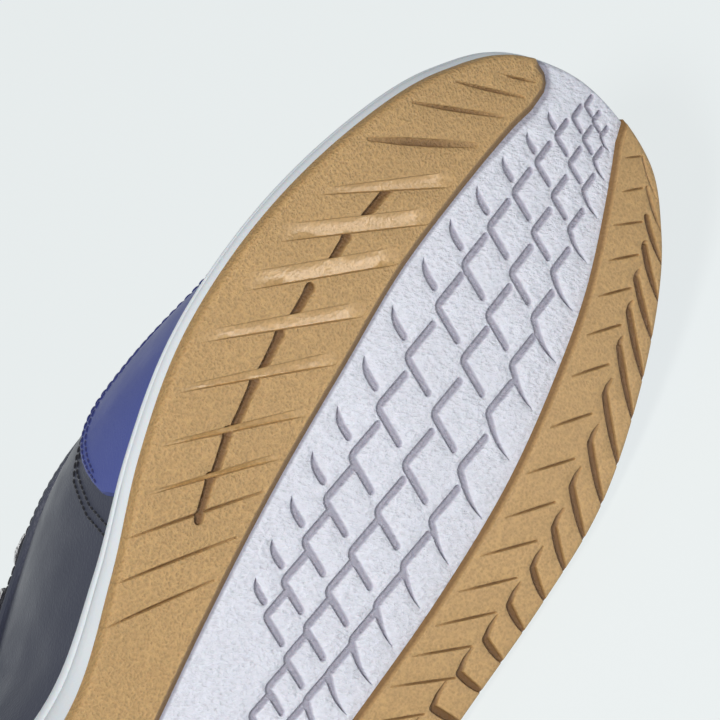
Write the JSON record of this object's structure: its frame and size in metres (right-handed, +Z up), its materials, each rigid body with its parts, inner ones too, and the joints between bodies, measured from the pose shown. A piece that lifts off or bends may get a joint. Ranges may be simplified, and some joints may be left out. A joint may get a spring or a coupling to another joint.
{
  "type": "indoor soccer shoe",
  "caption": "Low-cut laced indoor soccer shoe lying on its side, with a flat grooved rubber sole, foam midsole, hollow lasted upper, padded collar, tongue and laces.",
  "frame": {"origin": "on the floor, at the middle of the lying shoe's box in plan", "axes": "+X from heel to toe along the sole, +Y from the tread towards the collar, +Z up from the floor; the shoe lies on its lateral side"},
  "size_m": [0.2892, 0.1172, 0.105],
  "materials": {
    "gum_rubber": "satin, pebbled",
    "white_rubber": "matte, fine woven grain",
    "midsole_foam": "smooth matte",
    "lining_fabric": "matte",
    "navy_leather": "fine grain, satin",
    "blue_synthetic": "matte",
    "tongue_fabric": "matte",
    "lace_fabric": "woven, matte"
  },
  "bodies": {
    "root": {"outsole": "gum_rubber", "outsole_centre": "white_rubber", "midsole": "midsole_foam", "insole": "lining_fabric", "upper": "navy_leather", "toe_overlay": "blue_synthetic", "heel_counter": "navy_leather", "eyestay": "navy_leather", "collar_padding": "lining_fabric", "tongue": "tongue_fabric", "laces": "lace_fabric"}
  },
  "joints": []
}
